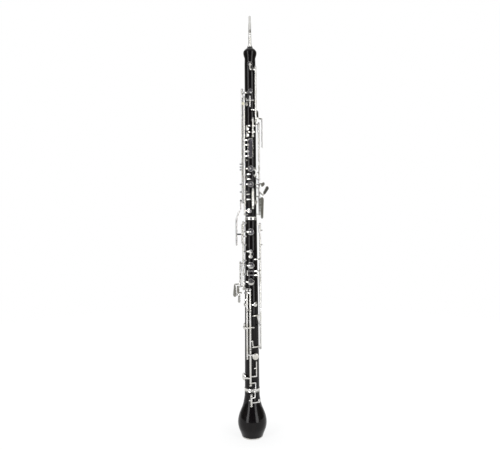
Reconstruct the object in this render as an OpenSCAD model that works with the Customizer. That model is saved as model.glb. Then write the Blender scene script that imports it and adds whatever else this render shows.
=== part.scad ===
// English horn: a bell, a lower joint, an upper joint and a crook, with the keys that close their holes.
// The origin is on the bore axis at the bell's rim, +Z points to the crook and the finger keys face -Y.
// A place round the body is given as an angle from the front, positive towards +X.

/* [Bell] */
// Height of the bell from its rim to the end of its socket
bell_len = 102.5; // [80:0.1:120]
// Diameter of the bell at its widest
bell_d = 60; // [54:0.5:72]
// Diameter of the round mouth opening
mouth_d = 29; // [25:0.5:33]
// Height of the metal ring round the rim
rim_ring_h = 3; // [2:0.1:4]
// Height of the metal ring round the bell socket
bell_ring_h = 7.4; // [5:0.1:10]

/* [Lower joint] */
// Length of the lower joint between its shoulders
lower_len = 353.5; // [300:0.1:430]
// Diameter at the lower end
lower_foot_d = 30.6; // [27:0.1:36]
// Diameter at the upper end
lower_head_d = 24.4; // [23:0.1:29]
// Diameter of the bore at the lower end
lower_bore_d = 16; // [12:0.1:18]
// Length of the tenon in the bell socket
bell_tenon_len = 20; // [15:0.5:26]

/* [Upper joint] */
// Length of the upper joint from its shoulder to the top of the bulb
upper_len = 353; // [300:0.1:424]
// Diameter of the joint
upper_d = 23; // [21:0.1:28]
// Diameter of the bulb at the top
bulb_d = 28; // [25:0.1:33]
// Diameter of the bore at the lower end
upper_bore_d = 9; // [7:0.1:10]
// Length of the tenon in the lower joint
middle_tenon_len = 22; // [16:0.5:28]
// Height of the metal ring between the joints
middle_ring_h = 6.6; // [5:0.1:9]

/* [Crook] */
// Outside diameter of the crook where it enters its socket
crook_d = 6.4; // [5.6:0.1:7.4]
// Outside diameter of the end that takes the reed
reed_end_d = 4.7; // [4:0.1:5.6]
// Length of the straight end that takes the reed
reed_end_len = 14; // [10:0.5:18]
// Straight length above the socket
crook_stem = 22; // [15:0.5:30]
// Radius of the bend towards the player
crook_bend_r = 60; // [45:1:80]
// Angle of the bend
crook_bend = 24; // [10:1:35]
// Depth of the socket in the upper joint
crook_socket = 16; // [12:0.5:20]

/* [Key work] */
// Radius of the steel rods
rod_r = 1; // [0.8:0.05:1.2]
// Radial clearance between a rod and the tube round it
rod_gap = 0.05; // [0.02:0.01:0.08]
// Radius of the hinge tubes
tube_r = 1.9; // [1.6:0.05:2.3]
// Distance from the wood's surface to a rod's axis
rod_stand = 5.8; // [5.4:0.1:7]
// Radius of the ball at the top of a post
ball_r = 2.5; // [2.3:0.1:3]
// Width of the key arms
arm_w = 2.4; // [1.8:0.1:3]
// Thickness of the key arms
arm_t = 1.5; // [1.2:0.1:1.9]
// Thickness of the touch plates
plate_t = 1.4; // [1.1:0.1:1.8]
// Thickness of the pads
pad_t = 1.7; // [1.4:0.1:2.1]
// Gap between neighbouring tubes and posts on a rod
end_gap = 0.3; // [0.2:0.05:0.5]
// Gap between a closed pad and its seat
seat_gap = 0.3; // [0.2:0.05:0.5]
// Angle by which the open keys stand open
open_turn = 7; // [5:0.5:8]

/* [Cups] */
// Diameter of the smallest vent cups
vent_cup_d = 8; // [7:0.1:9]
// Diameter of the octave and trill cups
trill_cup_d = 9.4; // [8.5:0.1:11]
// Diameter of the left hand finger cups
left_cup_d = 12.4; // [11:0.1:14]
// Diameter of the right hand finger cups
right_cup_d = 13.6; // [12:0.1:15.5]
// Diameter of the three lowest cups
low_cup_d = 15.6; // [14:0.1:18]
// Width of the half hole plate
half_plate_w = 11.5; // [10:0.1:13]
// Length of the half hole plate
half_plate_l = 41; // [36:0.5:46]

/* [Heights on the upper joint] */
// Second octave pad
second_octave_h = 315; // [310:0.5:318]
// Upper trill pad
upper_trill_h = 258.7; // [255:0.5:262]
// Saddle of the octave see-saw
see_saw_h = 239; // [237:0.5:241]
// Lower trill pad
lower_trill_h = 232; // [230:0.5:234]
// Upper one of the two front vents
front_vent_h = 180.5; // [179:0.5:182]
// Middle of the half hole plate
half_hole_h = 140.6; // [139:0.5:142]
// Second finger cup of the left hand
second_finger_h = 98.7; // [97:0.5:100]
// Third finger cup of the left hand
third_finger_h = 66.8; // [65:0.5:68]
// Pad of the G sharp key
g_sharp_h = 34; // [33:0.5:35]
// Pad beside the middle ring
bridge_vent_h = 12.5; // [12:0.5:13.5]

/* [Heights on the lower joint] */
// First finger cup of the right hand
fourth_finger_h = 327.3; // [326:0.5:329]
// Upper one of the two resonance cups
resonance_h = 287; // [286:0.5:288]
// Second finger cup of the right hand
fifth_finger_h = 258.2; // [257:0.5:259]
// Third finger cup of the right hand
sixth_finger_h = 224.5; // [223:0.5:226]
// Pad of the E flat key
e_flat_h = 176; // [175:0.5:177]
// Pad of the low C sharp key
c_sharp_h = 131; // [129:0.5:133]
// Pad of the low C key
low_c_h = 71.5; // [70:0.5:73]
// Pad of the low B key
low_b_h = 28; // [26:0.5:30]

/* [Thumb rest] */
// Height of the thumb rest's middle above the lower joint's foot
thumb_rest_h = 296; // [280:1:310]
// Outside diameter of the strap ring
strap_ring_d = 12; // [10:0.5:15]
// Thickness of the strap ring's wire
strap_wire = 2; // [1.6:0.1:2.4]

/* [Hidden] */

wood = [0.07, 0.065, 0.065];
silver = [0.82, 0.82, 0.80];
steel = [0.55, 0.57, 0.60];
blued = [0.16, 0.20, 0.34];
cork = [0.72, 0.56, 0.38];
skin = [0.86, 0.80, 0.66];

eps = 0.01;
fine = 96;
mid = 48;
lower_z = bell_len;
upper_z = bell_len + lower_len;
top_z = upper_z + upper_len;
upper_r = upper_d / 2;
lower_drawn_len = 353.5;
lower_reading = 358.2;
upper_drawn_len = 353;
bell_drawn_len = 102.5;
tenon_gap = 0.04;
fit_gap = 0.02;

// Heights follow the length of their joint, and on the lower joint they count up to its upper shoulder
function low(h) = upper_z + (h - lower_reading) * lower_len / lower_drawn_len;
function upp(h) = upper_z + h * upper_len / upper_drawn_len;
function bel(h) = h * bell_len / bell_drawn_len;

// A place in plan, from its distance to the bore axis and its angle from the front
function on(rho, th) = [rho * sin(th), -rho * cos(th)];

// Outside radius of the lower joint at a height
function lower_r(z) = lookup(z, [
  [lower_z, lower_foot_d / 2],
  [low(185), lower_foot_d / 2 - 1.3],
  [low(290), lower_head_d / 2 + 0.5],
  [upper_z - middle_ring_h, lower_head_d / 2]
]);

// Cup and pad sizes, measured outwards from the pad's face
cup_wall = 0.5;
cup_floor = 0.9;
cup_h = pad_t + cup_floor;
cup_lip = 0.7;
pad_play = 0.05;
bead_h = 0.6;
bead_w = 0.9;
flat_drop = 1.3;
pad_room = 0.9;

// Radius from the bore axis at which a closed pad's face lies
function seat(r) = r - flat_drop + bead_h + seat_gap;

// Plan places of the rods
rod_left_outer = on(upper_r + rod_stand + 0.6, -74);
rod_left_inner = on(upper_r + rod_stand, -48);
rod_octave = on(upper_r + rod_stand, 40);
rod_front = on(upper_r + rod_stand - 1.2, 18);
rod_right = on(upper_r + rod_stand + 0.6, 75);
rod_g_sharp = on(upper_r + rod_stand - 0.4, 14);
rod_thumb = on(upper_r + rod_stand, 168);
lower_reach = lower_head_d / 2 + 0.5 + rod_stand;
foot_reach = lower_foot_d / 2 - 0.6 + rod_stand;
rod_low_left = on(lower_reach, -62);
rod_low_right = on(lower_reach + 0.6, 74);
rod_touch = on(lower_reach + 4.5, -86);
rod_main = on(foot_reach - 0.8, -9);
rod_second = on(foot_reach - 0.8, -28);
rod_side = on(lower_reach + 1, -108);
rod_bell = on(bell_d * 0.3 + rod_stand - 0.4, -4);

module along(th, rho, z) {
  translate([on(rho, th)[0], on(rho, th)[1], z]) rotate([90, 0, th]) children();
}

module ball(p, r) {
  translate(p) sphere(r, $fn = mid);
}

// A straight round bar that ends in a small knob
module strut(a, b, r) {
  d = b - a;
  translate(a)
    rotate([0, acos(d[2] / norm(d)), atan2(d[1], d[0])])
      cylinder(r = r, h = norm(d), $fn = mid);
  ball(b, r * 1.25);
}

// A level arm that bows outwards between two places in plan
module arm(p, q, z, bow = 1.6, w = arm_w, t = arm_t) {
  d = q - p;
  side = (p[0] * q[1] - p[1] * q[0]) > 0 ? 1 : -1;
  n = side * [d[1], -d[0]] / norm(d);
  r = (norm(d) * norm(d) / 4 + bow * bow) / (2 * bow);
  c = (p + q) / 2 - n * (r - bow);
  a0 = atan2(p[1] - c[1], p[0] - c[0]);
  a1 = atan2(q[1] - c[1], q[0] - c[0]);
  turn = (a1 - a0 + 540) % 360 - 180;
  cut = 0.3;
  translate([c[0], c[1], z]) rotate([0, 0, a0]) rotate_extrude(angle = turn, $fn = fine)
    translate([r, 0]) polygon([
      [-t / 2, -w / 2], [t / 2 - cut, -w / 2], [t / 2, -w / 2 + cut],
      [t / 2, w / 2 - cut], [t / 2 - cut, w / 2], [-t / 2, w / 2]
    ]);
  translate([q[0], q[1], z - w / 2 + 0.1]) cylinder(r = t * 0.65, h = w - 0.2, $fn = mid);
}

// The outline of a pill, upright, with its own radius at each end
module pill(l, r_low, r_high) {
  half = l / 2;
  rise = half * 2 - r_low - r_high;
  s = (r_low - r_high) / rise;
  k = sqrt(1 - s * s);
  translate([0, -half + r_low]) circle(r_low, $fn = mid);
  translate([0, half - r_high]) circle(r_high, $fn = mid);
  polygon([
    [r_low * k, -half + r_low + r_low * s], [r_high * k, half - r_high + r_high * s],
    [-r_high * k, half - r_high + r_high * s], [-r_low * k, -half + r_low + r_low * s]
  ]);
}

// A touch plate that faces outwards at an angle of its own and leans in its own plane
module touch(p, z, face, l, r_low, r_high, lean = 0) {
  translate([p[0], p[1], z]) rotate([90, 0, face]) rotate([0, 0, lean])
    linear_extrude(plate_t) pill(l, r_low, r_high);
}

module hinge_tube(rod, z0, z1) {
  translate([rod[0], rod[1], z0]) cylinder(r = tube_r, h = z1 - z0, $fn = mid);
  for (z = [z0, z1 - 1]) translate([rod[0], rod[1], z]) cylinder(r = tube_r + 0.25, h = 1, $fn = mid);
}

// A key on its rod: the tube, what stands on the tube, and the bore through both
module on_rod(rod, z0, z1) {
  difference() {
    union() {
      hinge_tube(rod, z0, z1);
      children();
    }
    translate([rod[0], rod[1], z0 - 40]) cylinder(r = rod_r + rod_gap, h = z1 - z0 + 80, $fn = mid);
  }
}

// Turns a key that is drawn closed to where it stands open
module swung(rod, a) {
  translate([rod[0], rod[1], 0]) rotate([0, 0, a]) translate([-rod[0], -rod[1], 0]) children();
}

module cup_shape(d) {
  r = d / 2;
  rotate_extrude($fn = fine) polygon([
    [0, pad_t], [r - cup_wall, pad_t], [r - cup_wall, cup_lip], [r, cup_lip],
    [r, cup_h - 0.5], [r - 0.5, cup_h], [r * 0.45, cup_h + 0.25], [0, cup_h + 0.3]
  ]);
}

module pad_shape(d) {
  r = d / 2 - cup_wall - pad_play;
  rotate_extrude($fn = fine) polygon([
    [0, 0], [r - 0.4, 0], [r, 0.4], [r, pad_t - pad_play], [0, pad_t - pad_play]
  ]);
}

module cup(z, th, r, d) {
  along(th, seat(r), z) cup_shape(d);
}

module pad(z, th, r, d) {
  along(th, seat(r), z) pad_shape(d);
}

// The place in plan of the middle of a cup's back, where its arm ends
function crown(th, r) = on(seat(r) + cup_h + 0.3, th);

// The round boss where an arm ends on its cup
module boss_at(z, th, face) {
  along(th, face + cup_h - 0.4, z) cylinder(r1 = arm_w * 0.95, r2 = arm_w * 0.6, h = 1.5, $fn = mid);
}

module boss(z, th, r) {
  boss_at(z, th, seat(r));
}

// What is cut from the wood at a hole: the flat for the pad, round the raised seat, and the hole
module tone_hole(z, th, r, d, hole_d) {
  difference() {
    along(th, r - flat_drop, z) cylinder(r = d / 2 + pad_room, h = 12, $fn = mid);
    along(th, r - flat_drop - 1, z) cylinder(r = hole_d / 2 + bead_w, h = 1 + bead_h, $fn = mid);
  }
  along(th, 0, z) cylinder(r = hole_d / 2, h = r + 4, $fn = mid);
}

// A post: a ball on a stem with a foot, before it is trimmed to the wood
module post(rod, z, r) {
  reach = norm(rod);
  th = atan2(rod[0], -rod[1]);
  difference() {
    union() {
      ball([rod[0], rod[1], z], ball_r);
      along(th, r - 1.5, z) cylinder(r = 1.35, h = reach - r + 1.5, $fn = mid);
      along(th, r - 1.5, z) cylinder(r1 = 2.7, r2 = 2, h = 2.6, $fn = mid);
    }
    translate([rod[0], rod[1], z - ball_r]) cylinder(r = rod_r + fit_gap, h = 2 * ball_r, $fn = mid);
  }
}

// A steel rod from post to post, with the slotted head that its screwdriver turns
module rod(place, z0, z1) {
  head = 1.1;
  translate([place[0], place[1], z0 - ball_r + 0.2])
    cylinder(r = rod_r, h = z1 - z0 + 2 * ball_r + 0.1, $fn = mid);
  difference() {
    translate([place[0], place[1], z1 + ball_r]) cylinder(r = rod_r + 0.7, h = head, $fn = mid);
    translate([place[0] - 3, place[1] - 0.2, z1 + ball_r + head - 0.5]) cube([6, 0.4, 1]);
  }
}

// A needle spring: a straight wire set in a post, beside the tube it works on
needle_r = 0.3;
module needle(rod, z0, z1, r = tube_r) {
  p = rod * (norm(rod) - r - 0.95) / norm(rod);
  translate([p[0], p[1], min(z0, z1)]) cylinder(r = needle_r, h = abs(z1 - z0), $fn = 24);
}

// Bell

bell_r = bell_d / 2;
socket_r = lower_foot_d / 2 + 0.4;
rim_r = bell_r * 0.717;
bell_tenon_r = lower_foot_d / 2 - 4.2;
bell_cork_r = bell_tenon_r + 1.3;
mouth_land = 9;

module bell_outline() {
  polygon([
    [0, rim_ring_h], [rim_r + 0.6, rim_ring_h], [bell_r * 0.81, bel(9)], [bell_r * 0.885, bel(14.5)],
    [bell_r * 0.952, bel(20)], [bell_r * 0.99, bel(26)], [bell_r, bel(31)], [bell_r * 0.985, bel(37)],
    [bell_r * 0.94, bel(43.5)], [bell_r * 0.87, bel(50)], [bell_r * 0.77, bel(57)],
    [bell_r * 0.68, bel(63.5)], [bell_r * 0.61, bel(71)], [max(bell_r * 0.56, socket_r + 0.8), bel(79)],
    [socket_r, bel(86)], [socket_r, bell_len - bell_ring_h], [0, bell_len - bell_ring_h]
  ]);
}

module bell_inside() {
  r = mouth_d / 2;
  polygon([
    [0, -1], [r, -1], [r, mouth_land], [bell_r * 0.6, bel(18)], [bell_r * 0.72, bel(27)],
    [bell_r * 0.72, bel(36)], [bell_r * 0.6, bel(48)], [bell_r * 0.42, bel(60)],
    [lower_bore_d / 2 + 0.6, bel(70)], [lower_bore_d / 2, bell_len - bell_tenon_len - 1],
    [bell_cork_r + tenon_gap, bell_len - bell_tenon_len - 1], [bell_cork_r + tenon_gap, bell_len + 1],
    [0, bell_len + 1]
  ]);
}

bell_key_z = bel(77.5);
bell_key_th = 48;
bell_key_seat = bell_r * 0.575;
bell_flat = 2.2;

module bell_body() {
  color(wood) difference() {
    rotate_extrude($fn = fine) bell_outline();
    rotate_extrude($fn = fine) bell_inside();
    bell_hole();
  }
}

module bell_hole() {
  along(bell_key_th, bell_key_seat - bell_flat, bell_key_z)
    cylinder(r = vent_cup_d / 2 + pad_room, h = 12, $fn = mid);
  along(bell_key_th, 0, bell_key_z) cylinder(r = 2.4, h = bell_r, $fn = mid);
}

module bell_rim_ring() {
  color(silver) rotate_extrude($fn = fine) polygon([
    [mouth_d / 2, 0], [rim_r - 0.8, 0], [rim_r + 0.1, 0.5], [rim_r + 0.6, rim_ring_h / 2],
    [rim_r + 0.4, rim_ring_h], [mouth_d / 2, rim_ring_h]
  ]);
}

module bell_socket_ring() {
  z = bell_len - bell_ring_h;
  color(silver) rotate_extrude($fn = fine) polygon([
    [bell_cork_r + tenon_gap, z], [socket_r + 0.2, z], [socket_r + 0.6, z + 0.8],
    [socket_r + 0.2, z + 1.6], [socket_r + 0.2, bell_len - 1.6], [socket_r + 0.6, bell_len - 0.8],
    [socket_r + 0.1, bell_len], [bell_cork_r + tenon_gap, bell_len]
  ]);
}

bell_rod_low = bel(70.5);
bell_rod_high = bel(91);
bell_post_r = bell_r * 0.62;

module bell_posts() {
  color(silver) difference() {
    union() {
      post(rod_bell, bell_rod_low, bell_post_r);
      post(rod_bell, bell_rod_high, socket_r);
    }
    translate([0, 0, -fit_gap]) rotate_extrude($fn = fine) offset_outline(fit_gap) bell_outline();
  }
}

// Grows a turned outline sideways, which keeps its faces exact
module offset_outline(d) {
  translate([d, 0]) children();
  children();
}

module bell_rod() {
  color(steel) rod(rod_bell, bell_rod_low, bell_rod_high);
}

// The bell key opens with the low B key
bell_crown = on(bell_key_seat - bell_flat + seat_gap + cup_h + 0.3, bell_key_th);

module bell_key() {
  z0 = bell_rod_low + ball_r + end_gap;
  z1 = bell_rod_high - ball_r - end_gap;
  link = [rod_bell[0] + 7, rod_bell[1] + 3.4];
  color(silver) swung(rod_bell, -open_turn) on_rod(rod_bell, z0, z1) {
    arm(rod_bell, bell_crown, bell_key_z, 3.6);
    boss_at(bell_key_z, bell_key_th, bell_key_seat - bell_flat + seat_gap);
    along(bell_key_th, bell_key_seat - bell_flat + seat_gap, bell_key_z) cup_shape(vent_cup_d);
    arm(rod_bell, on(norm(rod_bell), -14), bell_key_z + 4, 0.6);
    strut([rod_bell[0], rod_bell[1], z1 - 2], [link[0], link[1], z1 - 1], 1);
    strut([link[0], link[1], z1 - 1], [link[0], link[1], bell_len - 2.4], 1.1);
  }
}

module bell_pad() {
  color(skin) swung(rod_bell, -open_turn)
    along(bell_key_th, bell_key_seat - bell_flat + seat_gap, bell_key_z) pad_shape(vent_cup_d);
}

// Lower joint

middle_tenon_r = lower_head_d / 2 - 4.4;
middle_cork_r = middle_tenon_r + 1;
middle_socket_r = middle_cork_r + tenon_gap;

module lower_outline() {
  polygon([
    [0, lower_z], [lower_foot_d / 2, lower_z], [lower_r(low(185)), low(185)],
    [lower_r(low(290)), low(290)], [lower_head_d / 2, upper_z - middle_ring_h],
    [0, upper_z - middle_ring_h]
  ]);
}

e_flat_th = 30;
low_holes = [
  // height, angle, cup diameter, hole diameter
  [fourth_finger_h, 0, right_cup_d, 6], [resonance_h, -2, vent_cup_d, 3.6],
  [resonance_h - 10.4, -2, vent_cup_d, 3.6], [fifth_finger_h, 0, right_cup_d, 6.6],
  [sixth_finger_h, 0, right_cup_d, 7], [e_flat_h, -62, trill_cup_d, 5.4],
  [e_flat_h + 2, e_flat_th, trill_cup_d, 5], [c_sharp_h, -72, low_cup_d, 8.4],
  [low_c_h, 27, right_cup_d, 7], [low_b_h, -72, low_cup_d, 8.6]
];

module lower_joint_body() {
  color(wood) difference() {
    union() {
      rotate_extrude($fn = fine) lower_outline();
      translate([0, 0, lower_z - bell_tenon_len + 0.5])
        cylinder(r = bell_tenon_r, h = bell_tenon_len, $fn = fine);
    }
    translate([0, 0, lower_z - bell_tenon_len])
      cylinder(r1 = lower_bore_d / 2, r2 = upper_bore_d / 2,
               h = lower_len - middle_tenon_len + bell_tenon_len, $fn = fine);
    translate([0, 0, upper_z - middle_tenon_len - 0.5])
      cylinder(r = middle_socket_r, h = middle_tenon_len + 1, $fn = fine);
    for (h = low_holes) tone_hole(low(h[0]), h[1], lower_r(low(h[0])), h[2], h[3]);
  }
}

module lower_socket_ring() {
  z = upper_z - middle_ring_h;
  r = lower_head_d / 2;
  color(silver) rotate_extrude($fn = fine) polygon([
    [middle_socket_r, z], [r + 0.1, z], [r + 0.6, z + 0.8], [r + 0.2, z + 1.8],
    [r + 0.2, upper_z - 1.8], [r + 0.6, upper_z - 0.9], [r, upper_z], [middle_socket_r, upper_z]
  ]);
}

module lower_tenon_cork() {
  color(cork) difference() {
    translate([0, 0, lower_z - bell_tenon_len + 3]) cylinder(r = bell_cork_r, h = bell_tenon_len - 7, $fn = fine);
    translate([0, 0, lower_z - bell_tenon_len]) cylinder(r = bell_tenon_r, h = bell_tenon_len, $fn = fine);
  }
}

// Posts of the lower joint: rod, height above the foot
low_left_posts = [346, 300, 268, 240, 209];
low_right_posts = [342, 232, 86];
main_posts = [208, 166, 88, 13.6];
second_posts = [208, 166, 68];
touch_posts = [262, 214];
side_posts = [340, 304];

module lower_posts() {
  color(silver) difference() {
    union() {
      for (h = low_left_posts) post(rod_low_left, low(h), lower_r(low(h)));
      for (h = low_right_posts) post(rod_low_right, low(h), lower_r(low(h)));
      for (h = main_posts) post(rod_main, low(h), lower_r(low(h)));
      for (h = second_posts) post(rod_second, low(h), lower_r(low(h)));
      for (h = touch_posts) post(rod_touch, low(h), lower_r(low(h)));
      for (h = side_posts) post(rod_side, low(h), lower_r(low(h)));
    }
    rotate_extrude($fn = fine) offset_outline(fit_gap) lower_outline();
  }
}

module lower_rods() {
  color(steel) {
    rod(rod_low_left, low(low_left_posts[4]), low(low_left_posts[0]));
    rod(rod_low_right, low(low_right_posts[2]), low(low_right_posts[0]));
    rod(rod_main, low(main_posts[3]), low(main_posts[0]));
    rod(rod_second, low(second_posts[2]), low(second_posts[0]));
    rod(rod_touch, low(touch_posts[1]), low(touch_posts[0]));
    rod(rod_side, low(side_posts[1]), low(side_posts[0]));
  }
}

// First and last height of the tube between two posts
function above(h) = h + ball_r + end_gap;
function below(h) = h - ball_r - end_gap;

needle_len = 17;

module lower_springs() {
  color(blued) {
    for (h = [346, 300, 268, 240]) needle(rod_low_left, low(h), low(h) - needle_len);
    for (h = [342, 232]) needle(rod_low_right, low(h), low(h) - needle_len);
    for (h = [166, 88]) needle(rod_main, low(h), low(h) - needle_len);
    for (h = [208, 166]) needle(rod_second, low(h), low(h) - needle_len);
    needle(rod_touch, low(262), low(262) - needle_len);
    needle(rod_side, low(340), low(340) - needle_len);
  }
}

// The thumb hook on the back: a curved plate held by two screws, a hook, and a lug for the strap ring
rest_z = low(thumb_rest_h);
rest_r = lower_r(rest_z);
rest_l = 40;
rest_w = 13;
rest_t = 1.6;
rest_screw = 15;
rest_screw_r = 1.2;
rest_screw_head_r = 2.4;
hook_out = 21;
lug_z = rest_z - 5.5;
lug_r = 2.8;
lug_t = 1.6;
lug_out = rest_r + rest_t + 2.8;
lug_hole_r = strap_wire / 2 + 0.5;

module thumb_rest() {
  color(silver) difference() {
    union() {
      intersection() {
        translate([0, 0, rest_z - rest_l / 2]) cylinder(r = rest_r + rest_t, h = rest_l, $fn = fine);
        along(180, 0, rest_z) linear_extrude(rest_r + 4) pill(rest_l, rest_w / 2, rest_w / 2);
      }
      intersection() {
        translate([-rest_w / 2, rest_r, rest_z]) cube([rest_w, hook_out, 2.4]);
        translate([0, rest_r + hook_out - 11, rest_z - 1]) cylinder(r = 11, h = 5, $fn = fine);
      }
      translate([-rest_w / 2 + 1, rest_r + hook_out - 3.2, rest_z + 1]) cube([rest_w - 2, 2.2, 5]);
      strap_lug();
    }
    rotate_extrude($fn = fine) offset_outline(fit_gap) lower_outline();
    for (s = [rest_screw, -rest_screw])
      along(180, 0, rest_z + s) cylinder(r = rest_screw_r + fit_gap, h = rest_r + 9, $fn = mid);
    translate([-lug_t, lug_out, lug_z]) rotate([0, 90, 0]) cylinder(r = lug_hole_r, h = 2 * lug_t, $fn = mid);
  }
}

// The lug is an upright eye, and its hole runs from side to side
module strap_lug() {
  translate([-lug_t / 2, lug_out, lug_z]) rotate([0, 90, 0]) cylinder(r = lug_r, h = lug_t, $fn = mid);
  translate([-lug_t / 2, rest_r, lug_z - lug_r + 0.6]) cube([lug_t, lug_out - rest_r, 2 * lug_r - 1.2]);
}

screw_play = 0.2;
module thumb_rest_screws() {
  color(steel) for (s = [rest_screw, -rest_screw]) difference() {
    union() {
      along(180, rest_r + rest_t + fit_gap, rest_z + s)
        cylinder(r1 = rest_screw_head_r, r2 = 1.6, h = 1.2, $fn = mid);
      along(180, rest_r + screw_play, rest_z + s)
        cylinder(r = rest_screw_r, h = rest_t + 0.2, $fn = mid);
    }
    translate([-3, rest_r + rest_t + 0.8, rest_z + s - 0.25]) cube([6, 2, 0.5]);
  }
}

// The ring hangs down from the lug's hole
ring_wire_r = strap_wire / 2;
ring_mid_r = strap_ring_d / 2 - ring_wire_r;

module strap_ring() {
  color(silver) translate([0, lug_out, lug_z - ring_mid_r]) rotate([90, 0, 0]) rotate_extrude($fn = fine)
    translate([ring_mid_r, 0]) circle(ring_wire_r, $fn = mid);
}

// Keys of the lower joint

// An open finger key on a rod at the left, its arm level with its cup
module finger_key(rod, h, z0, z1, d, r) {
  swung(rod, -open_turn) on_rod(rod, z0, z1) {
    arm(rod, crown(0, r), h);
    boss(h, 0, r);
    cup(h, 0, r, d);
    children();
  }
  swung(rod, -open_turn) pad(h, 0, r, d);
}

side_reach = lower_reach + 10;

module side_trill_lever() {
  z0 = above(low(side_posts[1]));
  z1 = below(low(side_posts[0]));
  touch_z = (low(304) + low(368)) / 2;
  p = on(side_reach + 2, -84);
  color(silver) on_rod(rod_side, z0, z1) {
    arm(rod_side, on(side_reach + 2.6, -84), low(322), 0.8, 3);
    touch(p, low(326), -84, 56, 3.4, 2.2);
    strut([p[0] * 1.02, p[1], low(352)], [p[0] * 0.86, p[1] - 1, low(366)], 1.3);
    strut([p[0] * 0.86, p[1] - 1, low(366)], [p[0] * 0.78, p[1] - 2.5, low(370)], 1.3);
  }
}

module fourth_finger_key() {
  z = low(fourth_finger_h);
  color(silver) finger_key(rod_low_left, z, above(low(300)), below(low(346)), right_cup_d, lower_r(z)) {
    arm(rod_low_left, on(lower_reach - 2.2, -40), low(318), 0.4, 2.2);
    ball([on(lower_reach - 2.2, -38)[0], on(lower_reach - 2.2, -38)[1], low(318)], 1.6);
  }
}

module resonance_key() {
  z = low(resonance_h);
  z2 = low(resonance_h - 10.4);
  r = lower_r(z);
  color(silver) {
    swung(rod_low_left, -open_turn) {
      on_rod(rod_low_left, above(low(268)), below(low(300))) {
        arm(rod_low_left, crown(-2, r), z);
        boss(z, -2, r);
        cup(z, -2, r, vent_cup_d);
        cup(z2, -2, lower_r(z2), vent_cup_d);
        p = crown(-2, r);
        strut([p[0], p[1], z], [p[0], p[1], z2], 0.9);
      }
      pad(z, -2, r, vent_cup_d);
      pad(z2, -2, lower_r(z2), vent_cup_d);
    }
  }
}

module fifth_finger_key() {
  z = low(fifth_finger_h);
  color(silver) finger_key(rod_low_left, z, above(low(240)), below(low(268)), right_cup_d, lower_r(z));
}

module yoke_lever() {
  z0 = above(low(232));
  z1 = below(low(342));
  over = lower_reach + 3.4;
  a = on(over, 34);
  b = on(over, -22);
  color(silver) on_rod(rod_low_right, z0, z1) {
    arm(rod_low_right, a, low(246.9), 1.4);
    arm(a, b, low(246.9), 2);
    arm(a, b, low(238.6), 2);
    strut([a[0], a[1], low(238.6)], [a[0], a[1], low(246.9)], 1.1);
    strut([b[0], b[1], low(238.6)], [b[0], b[1], low(246.9)], 1.05);
    arm(rod_low_right, a, low(271), 1.4);
    arm(a, on(over, 16), low(271), 0.5);
    arm(rod_low_right, on(lower_reach + 5, 84), low(300), 0.3);
    arm(rod_low_right, on(lower_reach + 5, 84), low(330), 0.3);
  }
}

module sixth_finger_key() {
  z = low(sixth_finger_h);
  r = lower_r(z);
  color(silver) {
    difference() {
      swung(rod_low_left, -open_turn) on_rod(rod_low_left, above(low(209)), below(low(240))) {
        arm(rod_low_left, crown(-20, r), z);
        cup(z, 0, r, right_cup_d);
      }
      swung(rod_low_left, -open_turn) along(0, seat(r) - 1, z) cylinder(r = plate_hole_r, h = 9, $fn = mid);
    }
    swung(rod_low_left, -open_turn) difference() {
      pad(z, 0, r, right_cup_d);
      along(0, seat(r) - 1, z) cylinder(r = plate_hole_r + 0.5, h = 9, $fn = mid);
    }
  }
}

plate_hole_r = 1.6;
cluster_reach = lower_reach + 13;

module low_c_touch() {
  z0 = above(low(214));
  z1 = below(low(262));
  p = on(cluster_reach + 3.4, -76);
  q = on(cluster_reach - 5.5, -74);
  color(silver) on_rod(rod_touch, z0, z1) {
    arm(rod_touch, p, z0 + 2.2, 0.6, 2.8);
    touch(p, low(206), -50, 26, 5, 1.9);
    arm(p, q, low(197.4), 0.8, 2.6);
    touch(q, low(190), -55, 19, 3.4, 2.6);
    arm(rod_touch, [rod_touch[0] + 1.6, rod_touch[1] - 4.4], z1 - 4, 0.5);
  }
}

// The E flat touch is at the left of its rod and the pad at the right
module e_flat_key() {
  z = low(e_flat_h + 2);
  r = lower_r(z);
  p = on(cluster_reach - 2, -66);
  color(silver) on_rod(rod_main, above(low(166)), below(low(208))) {
    arm(rod_main, crown(e_flat_th, r), z);
    boss(z, e_flat_th, r);
    cup(z, e_flat_th, r, trill_cup_d);
    arm(rod_main, p, low(203), 6.2, 2.8);
    touch(p, low(208.2), -54, 17, 3.4, 4.2);
  }
}

module e_flat_pad() {
  z = low(e_flat_h + 2);
  color(skin) pad(z, e_flat_th, lower_r(z), trill_cup_d);
}

module low_c_sharp_key() {
  z = low(c_sharp_h);
  r = lower_r(z);
  color(silver) on_rod(rod_main, above(low(88)), below(low(166))) {
    arm(rod_main, crown(-72, r), z, 8, 3);
    boss(z, -72, r);
    cup(z, -72, r, low_cup_d);
    arm(rod_main, on(foot_reach + 1, 12), low(132), 0.8);
    arm(rod_main, on(foot_reach + 0.4, 4), low(104), 0.4);
    strut([on(foot_reach + 0.4, 4)[0], on(foot_reach + 0.4, 4)[1], low(104)],
          [on(foot_reach + 0.4, 6)[0], on(foot_reach + 0.4, 6)[1], low(95)], 1);
  }
}

module low_c_sharp_pad() {
  z = low(c_sharp_h);
  color(skin) pad(z, -72, lower_r(z), low_cup_d);
}

module low_c_key() {
  z = low(low_c_h);
  r = lower_r(z);
  arm_z = low(low_c_h + 5);
  color(silver) swung(rod_second, -open_turn) on_rod(rod_second, above(low(68)), below(low(166))) {
    arm(rod_second, crown(27, r), arm_z, 7.2);
    boss(arm_z, 27, r);
    cup(z, 27, r, right_cup_d);
  }
}

module low_c_pad() {
  z = low(low_c_h);
  color(skin) swung(rod_second, -open_turn) pad(z, 27, lower_r(z), right_cup_d);
}

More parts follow.
